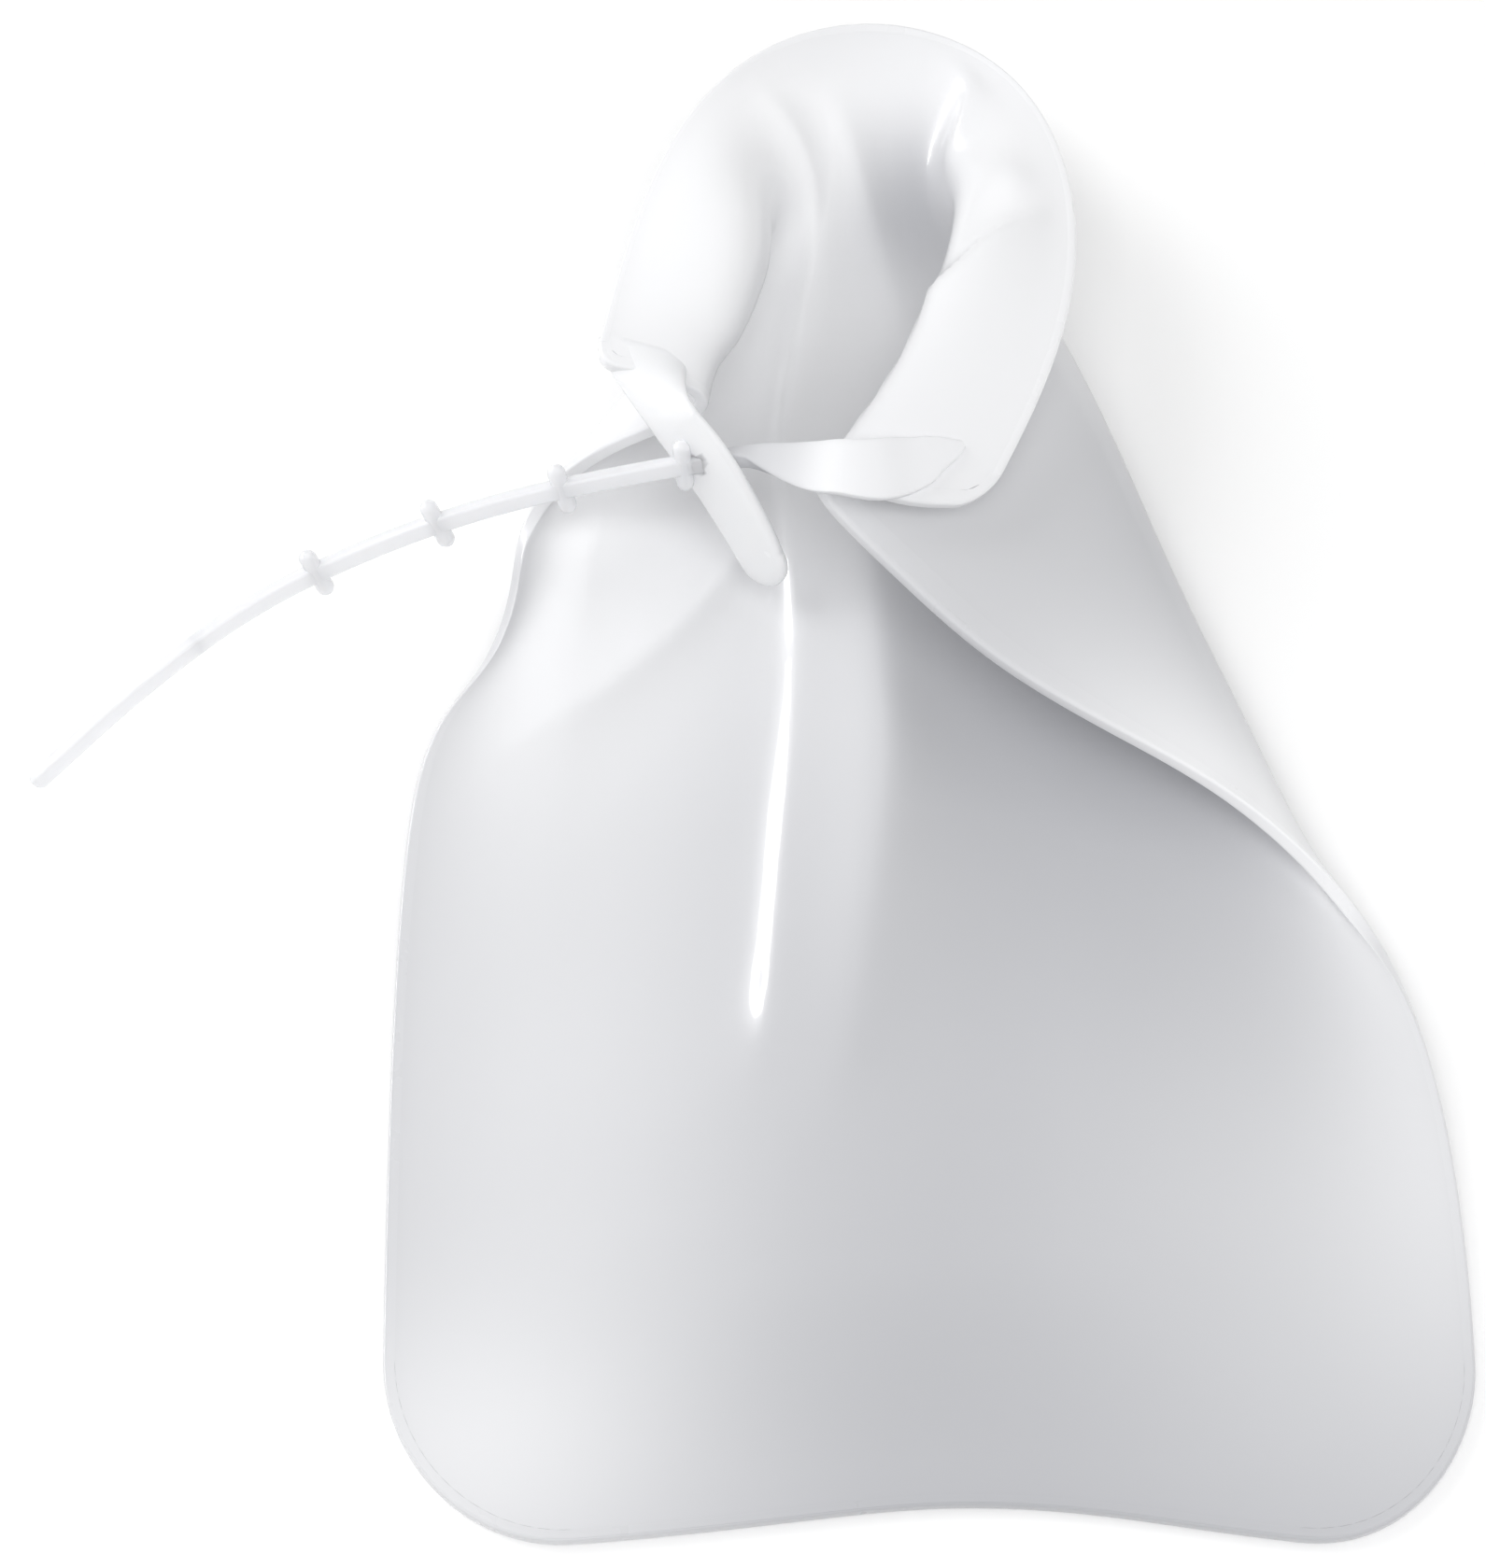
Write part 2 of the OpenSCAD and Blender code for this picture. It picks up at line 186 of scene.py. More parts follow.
def loft(stations, n):
    """n evenly spaced rows on a smooth curve through given stations."""
    stations = padded(np.array(stations, float))
    x = np.linspace(0, len(stations) - 3, n)
    i = np.minimum(x.astype(int), len(stations) - 4)
    h = (x - i)[:, None]
    a, b, c, d = (stations[i + k] for k in range(4))
    return 0.5 * (2 * b + (c - a) * h + (2 * a - 5 * b + 4 * c - d) * h**2
                  + (3 * b - a - 3 * c + d) * h**3)


PATH_STEPS = 300


def crease(s, t, path, left, right, tip):
    """Height of one soft fold. Each station of its path is [t, s, height]; left and right are the widths over
    which it dies away, and tip is how round its crest is."""
    path = loft(path, PATH_STEPS)
    d = s - np.interp(t, path[:, 0], path[:, 1])
    width = np.where(d < 0, left, right)
    return np.interp(t, path[:, 0], path[:, 2]) * np.exp((tip - np.sqrt(d * d + tip * tip)) / width)


def crease_across(s, t, path, width, tip):
    """Like crease, for a fold that runs more across the bag than along it: its path goes by s."""
    path = loft(path, PATH_STEPS)
    d = t - np.interp(s, path[:, 1], path[:, 0])
    return np.interp(s, path[:, 1], path[:, 2]) * np.exp((tip - np.sqrt(d * d + tip * tip)) / width)


# The folds that gathering the mouth makes, as [flat t, flat s, height] stations. They are given, and the main
# fold's heights are tuned so that the strip light's reflection runs down it as in the photo.
MAIN_FOLD = [[60, -30, 0], [80, -29.5, 0], [96, -28.5, 3.1], [112, -26.8, 3.1], [130, -24.8, 2.55],
             [148, -22.5, 2.4], [165, -20.5, 2.7], [180, -19.5, 2.95], [196, -19.5, 3.75],
             [212, -20, 4.3], [226, -18.8, 3.8], [240, -16, 4.15], [250, -14.5, 4.8], [262, -14, 4],
             [276, -21, 3], [288, -25, 2], [300, -31, 0]]
RIGHT_FLANK = [[50, -22, 0], [70, -20, 0], [94, -15, 3], [125, -9, 5], [150, -5, 5], [185, -4, 3],
               [215, -3, 0], [235, -3, 0]]
SHOULDER = [[154, -100, 0], [158, -88, 0], [163, -76, 1.5], [170, -62, 2.5], [182, -45, 3], [196, -30, 2.5],
            [204, -22, 0], [210, -14, 0]]
HOOD_RIDGE = [[225, 12, 0], [235, 11, 0], [248, 8, 1.5], [264, 2, 2.5], [281, -6, 2], [294, -12, 0],
              [304, -14, 0]]
COLLAR_CREASE = [[268, 72, 0], [274, 70, 0], [281, 66, 2.5], [288, 59, 3], [295, 55, 1.5], [301, 52, 0],
                 [307, 50, 0]]
RIM_CREASE = [[270, 30, 0], [276, 30, 0], [282, 29, 1.5], [289, 26, 2], [296, 22, 1.5], [302, 14, 0],
              [307, 8, 0]]
DIMPLE = [46, 292, 5, 1.2]  # flat s, flat t, radius, height
TENT = [[40, -12, 0], [60, -12, 0], [100, -14, 4], [130, -12, 9], [160, -8, 10], [190, -6, 8], [215, -5, 3],
        [240, -3, 0], [260, -3, 0]]
LEFT_CREST = [[275, -100, 0], [274, -88, 0], [273, -76, 3], [271, -62, 5], [269, -50, 5], [266, -38, 2],
              [262, -30, 0], [260, -22, 0]]
LEFT_FILL = [[90, -70, 0], [115, -70, 0], [145, -72, 2], [180, -76, 4], [210, -78, 4], [240, -78, 0],
             [265, -78, 0]]


# [path, width it dies away over on its left, the same on its right, how round its crest is]
NARROW_FOLDS = [[RIGHT_FLANK, 6, 7, 5], [HOOD_RIDGE, 6, 6, 3], [COLLAR_CREASE, 1.8, 14, 1],
                [RIM_CREASE, 3, 4, 2]]
BROAD_FOLDS = [[TENT, 30, 22, 14], [LEFT_FILL, 14, 26, 16]]
# [path, width it dies away over, how round its crest is]
CROSS_FOLDS = [[SHOULDER, 7, 3], [LEFT_CREST, 7, 6]]
MAIN_ROUND = 2.5


def folds(s, t):
    """Height of all the folds and creases at flat positions."""
    main_left = 3.6 + 2 * ease((t - 245) / 25)
    main_right = 13 - 5 * ease((t - 225) / 30)
    dent_s, dent_t, radius, height = DIMPLE
    total = crease(s, t, MAIN_FOLD, main_left, main_right, MAIN_ROUND)
    total = total + sum(crease(s, t, *fold) for fold in NARROW_FOLDS)
    total = total + height * np.exp(-((s - dent_s) ** 2 + (t - dent_t) ** 2) / radius**2)
    return total + sum(crease_across(s, t, *fold) for fold in CROSS_FOLDS)


def tent(s, t):
    """The front wall's broad rise under the gathered neck."""
    return sum(crease(s, t, *fold) for fold in BROAD_FOLDS)


def place(s, t, lift, share=1.0):
    """Points in metres at flat positions, raised off the sheet by lift and by a share of the folds."""
    points, normals = sheet(s, t)
    rise = lift + share * folds(s, t)
    return (points + normals * np.asarray(rise)[..., None]) * MM


# ---------------------------------------------------------------- mesh helpers
def new_piece(name, points, faces, material, sharp=50, tone=None):
    """A smooth-shaded object. tone is one whiteness per point, which the silicone look reads; on the walls,
    rim and lips it holds painted light and shade as well as the plies' whiteness.
    """
    mesh = bpy.data.meshes.new(name)
    mesh.from_pydata(np.asarray(points).reshape(-1, 3).tolist(), [], [list(map(int, f)) for f in faces])
    turned = bmesh.new()
    turned.from_mesh(mesh)
    bmesh.ops.recalc_face_normals(turned, faces=turned.faces)
    turned.to_mesh(mesh)
    turned.free()
    mesh.shade_smooth()
    mesh.set_sharp_from_angle(angle=math.radians(sharp))
    mesh.materials.append(material)
    if tone is not None:
        layer = mesh.attributes.new("tone", "FLOAT", "POINT")
        layer.data.foreach_set("value", np.asarray(tone, np.float32).ravel())
    piece = bpy.data.objects.new(name, mesh)
    bpy.context.collection.objects.link(piece)
    return piece


def tube(rings):
    """(points, faces) of the surface through rings of points, with its ends capped."""
    rings = np.asarray(rings)
    n, m = rings.shape[:2]
    i, j = np.meshgrid(np.arange(n - 1), np.arange(m), indexing="ij")
    at = lambda a, b: a * m + b % m
    faces = np.stack([at(i, j), at(i, j + 1), at(i + 1, j + 1), at(i + 1, j)], -1).reshape(-1, 4).tolist()
    faces += [list(range(m)), [(n - 1) * m + k for k in range(m - 1, -1, -1)]]
    return rings.reshape(-1, 3), faces


def slab(low, high):
    """(points, faces) of the closed solid between two grids of points."""
    n, m = low.shape[:2]
    at = lambda layer, i, j: (layer * n + i) * m + j
    i, j = np.meshgrid(np.arange(n - 1), np.arange(m - 1), indexing="ij")
    faces = [np.stack([at(0, i, j), at(0, i, j + 1), at(0, i + 1, j + 1), at(0, i + 1, j)], -1),
             np.stack([at(1, i, j), at(1, i + 1, j), at(1, i + 1, j + 1), at(1, i, j + 1)], -1)]
    k = np.arange(m - 1)
    for row in (0, n - 1):
        faces.append(np.stack([at(0, row, k), at(1, row, k), at(1, row, k + 1), at(0, row, k + 1)], -1))
    k = np.arange(n - 1)
    for col in (0, m - 1):
        faces.append(np.stack([at(0, k, col), at(0, k + 1, col), at(1, k + 1, col), at(1, k, col)], -1))
    return np.concatenate([low.reshape(-1, 3), high.reshape(-1, 3)]), \
        np.concatenate([f.reshape(-1, 4) for f in faces])


# ---------------------------------------------------------------- materials
PALE = (0.93, 0.933, 0.945)
LAMP_SHARE = 0.55  # how much of the lamps' light each face lets through in shadow rays


def silicone(name, colour, rough, alpha, coat, glow=0.0):
    """Frosted translucent silicone: cloudy colour, a fine moulded grain and soft patches of gloss. It whitens
    towards PALE by the mesh's tone, which on the walls, rim and lips holds painted light and shade as well as
    the plies' whiteness."""
    material = bpy.data.materials.new(name)
    material.use_nodes = True
    nodes, links = material.node_tree.nodes, material.node_tree.links
    shader = nodes["Principled BSDF"]
    where = nodes.new("ShaderNodeTexCoord")

    clouds = nodes.new("ShaderNodeTexNoise")
    clouds.inputs["Scale"].default_value = 22.0
    clouds.inputs["Detail"].default_value = 3.0
    links.new(where.outputs["Object"], clouds.inputs["Vector"])
    tone = nodes.new("ShaderNodeMix")
    tone.data_type = "RGBA"
    tone.inputs["A"].default_value = (*[c * 0.97 for c in colour], 1)
    tone.inputs["B"].default_value = (*[min(1, c * 1.02) for c in colour], 1)
    links.new(clouds.outputs["Fac"], tone.inputs["Factor"])
    # The mesh's tone: on the walls, rim and lips it is painted light and shade as well as the plies'
    # whiteness
    ply_and_shade_map = nodes.new("ShaderNodeAttribute")
    ply_and_shade_map.attribute_name = "tone"
    whiten = nodes.new("ShaderNodeMix")
    whiten.data_type = "RGBA"
    whiten.inputs["B"].default_value = (*PALE, 1)
    links.new(ply_and_shade_map.outputs["Fac"], whiten.inputs["Factor"])
    links.new(tone.outputs["Result"], whiten.inputs["A"])
    links.new(whiten.outputs["Result"], shader.inputs["Base Color"])

    patches = nodes.new("ShaderNodeTexNoise")
    patches.inputs["Scale"].default_value = 60.0
    patches.inputs["Detail"].default_value = 4.0
    links.new(where.outputs["Object"], patches.inputs["Vector"])
    gloss = nodes.new("ShaderNodeMapRange")
    gloss.inputs["To Min"].default_value = rough - 0.04
    gloss.inputs["To Max"].default_value = rough + 0.05
    links.new(patches.outputs["Fac"], gloss.inputs["Value"])
    links.new(gloss.outputs["Result"], shader.inputs["Roughness"])

    fine = nodes.new("ShaderNodeTexNoise")
    fine.inputs["Scale"].default_value = 900.0
    fine.inputs["Detail"].default_value = 2.0
    links.new(where.outputs["Object"], fine.inputs["Vector"])
    bump = nodes.new("ShaderNodeBump")
    bump.inputs["Strength"].default_value = 0.06
    bump.inputs["Distance"].default_value = 0.0002
    links.new(fine.outputs["Fac"], bump.inputs["Height"])
    links.new(bump.outputs["Normal"], shader.inputs["Normal"])

    shader.inputs["Alpha"].default_value = alpha
    shader.inputs["IOR"].default_value = 1.41
    shader.inputs["Coat Weight"].default_value = coat
    shader.inputs["Coat Roughness"].default_value = 0.08
    shader.inputs["Subsurface Weight"].default_value = glow
    shader.inputs["Subsurface Radius"].default_value = (1.0, 0.95, 0.9)
    shader.inputs["Subsurface Scale"].default_value = 0.006

    # Shadow rays pass partly through, beyond what the camera sees through, so that shadows stay soft
    clear = nodes.new("ShaderNodeBsdfTransparent")
    dim = nodes.new("ShaderNodeMixShader")
    dim.inputs["Fac"].default_value = LAMP_SHARE
    links.new(shader.outputs["BSDF"], dim.inputs[1])
    links.new(clear.outputs["BSDF"], dim.inputs[2])
    path = nodes.new("ShaderNodeLightPath")
    lit = nodes.new("ShaderNodeMixShader")
    links.new(path.outputs["Is Shadow Ray"], lit.inputs["Fac"])
    links.new(shader.outputs["BSDF"], lit.inputs[1])
    links.new(dim.outputs["Shader"], lit.inputs[2])
    links.new(lit.outputs["Shader"], nodes["Material Output"].inputs["Surface"])
    return material


SMOKE = (0.48, 0.485, 0.51)
WALL_LOOK = silicone("silicone_wall", SMOKE, 0.30, 0.88, 0.5)
EDGE_LOOK = silicone("silicone_edge", SMOKE, 0.28, 0.90, 0.5)
TONGUE_LOOK = silicone("silicone_tongue", SMOKE, 0.65, 0.90, 0.0)
TAB_LOOK = silicone("silicone_tab", (0.91, 0.915, 0.93), 0.26, 0.94, 0.5, glow=0.3)
STRAP_LOOK = silicone("silicone_strap", (0.84, 0.845, 0.87), 0.22, 0.78, 0.6, glow=0.6)


# ---------------------------------------------------------------- walls
# Patches of whiteness as [flat s, flat t, half width, half length, amount]. Some stand for plies that lie
# together at the mouth. The rest are painted light and shade, tuned to the photo's brightness: they lighten
# the left side, the right edge and hollows that lie in shade, and they darken the hood's inside, the mouth's
# top and a strip by the left edge.
PLY_AND_SHADE_PATCHES = [[-75, 90, 60, 110, 0.5], [-70, 190, 60, 50, 0.55], [0, 300, 200, 70, 1.1],
         [100, 80, 30, 70, 0.45], [100, 165, 24, 45, 0.9], [-10, 222, 30, 30, 0.4],
         [-70, 238, 26, 25, 0.6], [60, 60, 45, 60, 0.35], [14, 270, 20, 18, -0.9],
         [-5, 302, 40, 12, -0.3], [-85, 15, 40, 30, 0.4], [-24, 268, 10, 20, 0.5],
         [-100, 210, 10, 32, -0.3], [-10, 150, 16, 45, 0.2], [-52, 252, 28, 15, 0.7]]


def ply_whiteness_and_painted_shade(s, t):
    """The wall's whiteness at flat positions, from 0 to 1: the plies' whiteness together with painted light
    and shade.
    """
    tone = 0.0 * s + 0.0 * t
    for at_s, at_t, wide_s, wide_t, amount in PLY_AND_SHADE_PATCHES:
        tone = tone + amount * np.exp(-(((s - at_s) / wide_s) ** 2) - ((t - at_t) / wide_t) ** 2)
    return np.clip(tone, 0, 1)


def wall_rows():
    """Flat distances of the wall's rows, closer together round the bottom corners."""
    corner = CORNER_R - (CORNER_R - SEAM_W) * np.cos(np.radians(np.linspace(0, 90, 16)))
    return np.concatenate([corner, np.linspace(CORNER_R, MOUTH_T - LIP_H, 180)[1:]])


COLUMNS = np.linspace(-1, 1, 181)
TENT_EDGE = 0.3


def wall(name, is_front):
    """One wall as a closed slab. Only the front one swells over the pouch and rises under the neck."""
    t = wall_rows()[:, None]
    k = COLUMNS[None, :]
    s = k * inner_w(t)
    if is_front:
        share = 1.0
        lift = WALL + GAP + swell(k, t) + tent(s, t) * ease((1 - abs(k)) / TENT_EDGE)
    else:
        share = fold_share(t)
        lift = 0 * k * t
    low = place(s, t, lift, share)
    high = place(s, t, lift + WALL, share)
    # Its tone is the plies' whiteness with painted light and shade
    return new_piece(name, *slab(low, high), WALL_LOOK, tone=np.tile(ply_whiteness_and_painted_shade(s, t).ravel(), 2))


back_wall = wall("back_wall", False)
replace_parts(back_wall, "back_panel", "back_neck", "back_collar")
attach(back_wall, "bag")

front_wall = wall("front_wall", True)
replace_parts(front_wall, "front_panel", "front_neck", "front_collar")
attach(front_wall, "bag")


# ---------------------------------------------------------------- rims and lips
def outline():
    """[inner s, inner t, outer s, outer t] stations from the mouth's left corner round to its right one."""
    def arc(radius, centre_t, first, last, n):
        a = np.radians(np.linspace(first, last, n))[:, None]
        c = np.array([-HALF_W + radius, centre_t])
        way = np.hstack([-np.cos(a), np.sin(a)])
        return np.hstack([c + (radius - SEAM_W) * way, c + radius * way])

    side = np.linspace(MOUTH_T - MOUTH_R, CORNER_R, 240)[1:-1, None]
    left = np.full_like(side, -HALF_W)
    floor_s = np.linspace(-HALF_W + CORNER_R, 0, 50)[1:, None]
    zero = 0 * floor_s
    half = np.vstack([arc(MOUTH_R, MOUTH_T - MOUTH_R, 90, 0, 20),
                      np.hstack([left + SEAM_W, side, left, side]),
                      arc(CORNER_R, CORNER_R, 0, -90, 34),
                      np.hstack([floor_s, zero + SEAM_W, floor_s, zero])])
    return np.vstack([half, half[-2::-1] * [-1, 1, -1, 1]])


RIM_ROUND = 0.6


def rim():
    """The seam round the bottom and the sides, as a flat bar with rounded outer corners."""
    path = outline()
    inner, outer = path[:, None, :2], path[:, None, 2:]
    turn = np.radians(np.linspace(90, 0, 6))
    corner = 1 - (1 - np.cos(turn)) * RIM_ROUND / SEAM_W
    rise = RIM_ROUND * (1 - np.sin(turn))
    across = np.concatenate([[0, 0.5, 0.75], corner, corner[::-1], [0.75, 0.5, 0]])
    lift = np.concatenate([[PLIES] * 3, PLIES - rise, rise[::-1], [0] * 3])
    flat = inner + (outer - inner) * across[None, :, None]
    s, t = flat[..., 0], flat[..., 1]
    points = place(s, np.clip(t, 0, MOUTH_T), np.broadcast_to(lift, s.shape), fold_share(t))
    # Its tone is the plies' whiteness with painted light and shade
    return new_piece("side_rim", *tube(points), EDGE_LOOK, tone=ply_whiteness_and_painted_shade(s, t))


side_rim = rim()
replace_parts(side_rim, "bottom_seam", "left_seam", "right_seam")
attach(side_rim, "bag")


def lip(name, stands_for, lift, proud_low, proud_high):
    """Rounded lip along one wall's mouth edge, standing proud of the wall on its outer side."""
    low, high = lift - proud_low, lift + WALL + proud_high
    middle, half = (low + high) / 2, (high - low) / 2
    turn = np.radians(np.linspace(90, -90, 9))
    ts = np.concatenate([[MOUTH_T - LIP_H - half * 0.6], MOUTH_T - half + half * np.cos(turn),
                         [MOUTH_T - LIP_H - half * 0.6]])
    lifts = np.concatenate([[lift + WALL], middle + half * np.sin(turn), [lift]])
    reach = HALF_W - MOUTH_R + 0.5
    s = np.linspace(-reach, reach, 260)[:, None]
    points = place(s + 0 * ts, ts + 0 * s, np.broadcast_to(lifts, (len(s), len(ts))))
    # Its tone is the plies' whiteness with painted light and shade
    piece = new_piece(name, *tube(points), EDGE_LOOK, tone=ply_whiteness_and_painted_shade(s, ts))
    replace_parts(piece, stands_for)
    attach(piece, "bag")
    return piece


lip("mouth_lip_back", "back_lip", 0.0, LIP_PROUD, 0.0)
lip("mouth_lip_front", "front_lip", WALL + GAP, 0.0, LIP_PROUD)

# ---------------------------------------------------------------- strap and tab
SLOT_AT = np.array([-41.5, 143.5, 34.5])
BENDS = np.array([[-55.2, 141, 34.5], [-79.7, 139, 27], [-102.4, 136, 16.5],
                  [-126, 128, 8.4], [-147.4, 112, 4.4], [-166.6, 92.5, 2.7]])
STRAP_W = 3.2
STRAP_ROLL = math.radians(32)
strap_way = (BENDS[0] - SLOT_AT) / np.linalg.norm(BENDS[0] - SLOT_AT)
BEHIND_SLOT = 10.5  # how far behind the slot the strap's first bar starts
STARTS = np.vstack([SLOT_AT - BEHIND_SLOT * strap_way, BENDS])
TAB_FROM = np.array([-52, 155, 42.0])
TAB_TO = np.array([-28, 126, 20.0])
TAB_ROLL = math.radians(66)


def unit(v):
    return v / np.linalg.norm(v, axis=-1, keepdims=True)


def square_to(across, ways):
    """The across directions with what lies along ways taken out."""
    return unit(across - np.sum(across * ways, 1, keepdims=True) * ways)


def axes(way, roll):
    """The along, across and outward directions of a bar that runs along way, rolled about it."""
    x = unit(np.asarray(way, float))
    level = unit(np.cross([0, 0, 1.0], x))
    up = np.cross(x, level)
    y = math.cos(roll) * level + math.sin(roll) * up
    return x, y, np.cross(x, y)


def rounded_square(half, corner, n=5):
    """Outline of a square with rounded corners, as (y, z) pairs."""
    points = []
    for q in range(4):
        a = np.radians(np.linspace(q * 90, q * 90 + 90, n))
        cy, cz = [(1, 1), (-1, 1), (-1, -1), (1, -1)][q]
        points += [[cy * (half - corner) + corner * math.cos(x), cz * (half - corner) + corner * math.sin(x)]
                   for x in a]
    return np.array(points)


def bar_stretch(a, b, c, n=24):
    """Centres and across directions from the middle of bar a-b to the middle of bar b-c."""
    h = np.linspace(0, 1, n)[:, None]
    p, q = (a + b) / 2, (b + c) / 2
    centres = (1 - h) ** 2 * p + 2 * h * (1 - h) * b + h * h * q
    ways = unit((1 - h) * (b - p) + h * (q - b))
    _, y0, _ = axes(b - a, STRAP_ROLL)
    _, y1, _ = axes(c - b, STRAP_ROLL)
    across = square_to((1 - h) * y0 + h * y1, ways)
    return centres, across, np.cross(ways, across)


SECTION = rounded_square(STRAP_W / 2, 0.55)


def bar_rings(centres, across, out, scale):
    """Rings of the strap's square section along its centres."""
    return (centres[:, None] + scale[:, None, None] * (SECTION[None, :, :1] * across[:, None]
            + SECTION[None, :, 1:] * out[:, None])) * MM


TIP_TURN = np.radians([20, 40, 55, 70, 80, 87])
STRAP_NODES = [["strap_link_1"], ["strap_link_2"], ["strap_link_3"], ["strap_link_4"],
               ["strap_link_5", "strap_tip"]]


def with_tip(centres, across, out, reach):
    """The stretch carried on straight by reach, where it ends in a rounded tip."""
    straight = np.linspace(0, reach - STRAP_W / 2, 8)[1:]
    more = np.concatenate([straight, straight[-1] + STRAP_W / 2 * np.sin(TIP_TURN)])
    scale = np.concatenate([np.ones(len(centres) + len(straight)), np.cos(TIP_TURN)])
    way = unit(STARTS[-1] - STARTS[-2])
    centres = np.vstack([centres, centres[-1] + more[:, None] * way])
    across, out = (np.vstack([rows, np.repeat(rows[-1:], len(more), 0)]) for rows in (across, out))
    return centres, across, out, scale


def strap_piece(i):
    """The strap from the middle of bar i to the middle of bar i + 1, and to its tip on the last one."""
    centres, across, out = bar_stretch(STARTS[i], STARTS[i + 1], STARTS[i + 2])
    scale = np.ones(len(centres))
    if i == len(STRAP_NODES) - 1:
        reach = np.linalg.norm(STARTS[-1] - STARTS[-2]) / 2
        centres, across, out, scale = with_tip(centres, across, out, reach)
    rings = bar_rings(centres, across, out, scale)
    piece = new_piece(f"strap_{i + 1}", *tube(rings), STRAP_LOOK, sharp=70)
    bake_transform(piece)
    return piece


for i, stands_for in enumerate(STRAP_NODES):
    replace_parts(strap_piece(i), *stands_for)

# The strap widens into a web that climbs onto the collar's right end, and ends as an oval tongue lying on the
# collar. Each station is a centre, the half width, and the half thickness.
ROOT_TONGUE = [[-35.4, 144.5, 34.6, 1.6, 1.6], [-31.8, 144.3, 35.5, 2.1, 1.5], [-28.2, 142.5, 37.9, 2.9, 1.3],
               [-24.5, 139.4, 41.8, 3.8, 1.1], [-20.6, 136.2, 46.4, 4.7, 0.95], [-16, 134.3, 49.6, 5.4, 0.9],
               [-9.5, 134, 49.1, 6, 0.85], [-3, 136.7, 46.6, 5.2, 0.8], [1, 139.2, 45.3, 3.7, 0.75],
               [4.6, 141, 44.2, 2.1, 0.65], [6.6, 142.2, 43.6, 0.7, 0.5]]


TONGUE_TURN = [-36, 11]   # x where the web starts to turn level, and how far it takes
TONGUE_PALE = [-28, 12]   # the same for its whitening
TONGUE_TONE = [0.4, 0.4]  # its whiteness by the strap, and how much it gains


def root_piece():
    """The web and the tongue, from the middle of the strap's first bar."""
    start = (STARTS[0] + STARTS[1]) / 2
    half = STRAP_W / 2
    plain = np.linspace([*start, half, half], ROOT_TONGUE[0], 8)[:-1]
    rows = np.vstack([plain, loft(ROOT_TONGUE, 70)])
    centres = rows[:, :3]
    along = centres[:, :1]
    _, level, _ = axes(strap_way, STRAP_ROLL)
    share = ease((along - TONGUE_TURN[0]) / TONGUE_TURN[1])
    ways = unit(np.gradient(centres, axis=0))
    across = square_to(unit((1 - share) * -level + share * np.array([0, 1, 0.03])), ways)
    out = np.cross(ways, across)
    rings = (centres[:, None] + SECTION[None, :, :1] / half * across[:, None] * rows[:, 3, None, None]
             + SECTION[None, :, 1:] / half * out[:, None] * rows[:, 4, None, None]) * MM
    tone = TONGUE_TONE[0] + TONGUE_TONE[1] * ease((along - TONGUE_PALE[0]) / TONGUE_PALE[1])
    tone = np.tile(tone, (1, len(SECTION)))
    piece = new_piece("root_tongue", *tube(rings), TONGUE_LOOK, sharp=70, tone=tone)
    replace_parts(piece, "strap_root", "strap_bridge")
    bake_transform(piece)


root_piece()


KNOB_R = 1.7
KNOB_HALF = 5.2
FIRST_KNOB = BEHIND_SLOT + 3.4  # it stands just outside the slot


def knob_piece(i, at):
    """A short crossbar with round ends, through bar i of the strap at this distance along it."""
    x, y, z = axes(STARTS[i + 1] - STARTS[i], STRAP_ROLL)
    centre = STARTS[i] + x * at
    turn = np.radians(np.linspace(-90, 90, 15))
    straight = KNOB_HALF - KNOB_R
    heights = np.concatenate([-straight + KNOB_R * np.sin(turn[:7]), np.linspace(-straight, straight, 12),
                              straight + KNOB_R * np.sin(turn[8:])])
    radii = np.concatenate([KNOB_R * np.cos(turn[:7]), np.full(12, KNOB_R), KNOB_R * np.cos(turn[8:])])
    radii = np.maximum(radii, 0.05)
    a = np.radians(np.arange(0, 360, 15))
    ring = np.stack([np.cos(a), np.sin(a)], -1)
    points = centre + heights[:, None, None] * z + radii[:, None, None] * (
        ring[None, :, :1] * x + ring[None, :, 1:] * y)
    piece = new_piece(f"knob_{i + 1}", *tube(points * MM), STRAP_LOOK, sharp=70)
    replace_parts(piece, f"lock_knob_{i + 1}")
    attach(piece, f"strap_{i + 1}")


knob_piece(0, FIRST_KNOB)
for i in (1, 2, 3):
    knob_piece(i, np.linalg.norm(STARTS[i + 1] - STARTS[i]) / 2)


LEAF_SIDES = 36
LEAF_POWER = 0.6


def leaf_section():
    """The across and through parts of a flat leaf's rounded outline, each from -1 to 1."""
    a = np.arange(LEAF_SIDES) * 2 * math.pi / LEAF_SIDES
    return [np.sign(part) * abs(part) ** LEAF_POWER for part in (np.cos(a), np.sin(a))]


LEAF_ACROSS, LEAF_THROUGH = leaf_section()


def leaf_rings(rows):
    """Rings of a flat leaf. Each row is a centre, an across direction, a half width and a half thickness."""
    centres, across, wide, thick = rows[:, :3], rows[:, 3:6], rows[:, 6], rows[:, 7]
    ways = unit(np.gradient(centres, axis=0))
    across = square_to(across, ways)
    out = np.cross(ways, across)
    y = LEAF_ACROSS[None, :, None] * wide[:, None, None]
    z = LEAF_THROUGH[None, :, None] * thick[:, None, None]
    return (centres[:, None] + y * across[:, None] + z * out[:, None]) * MM


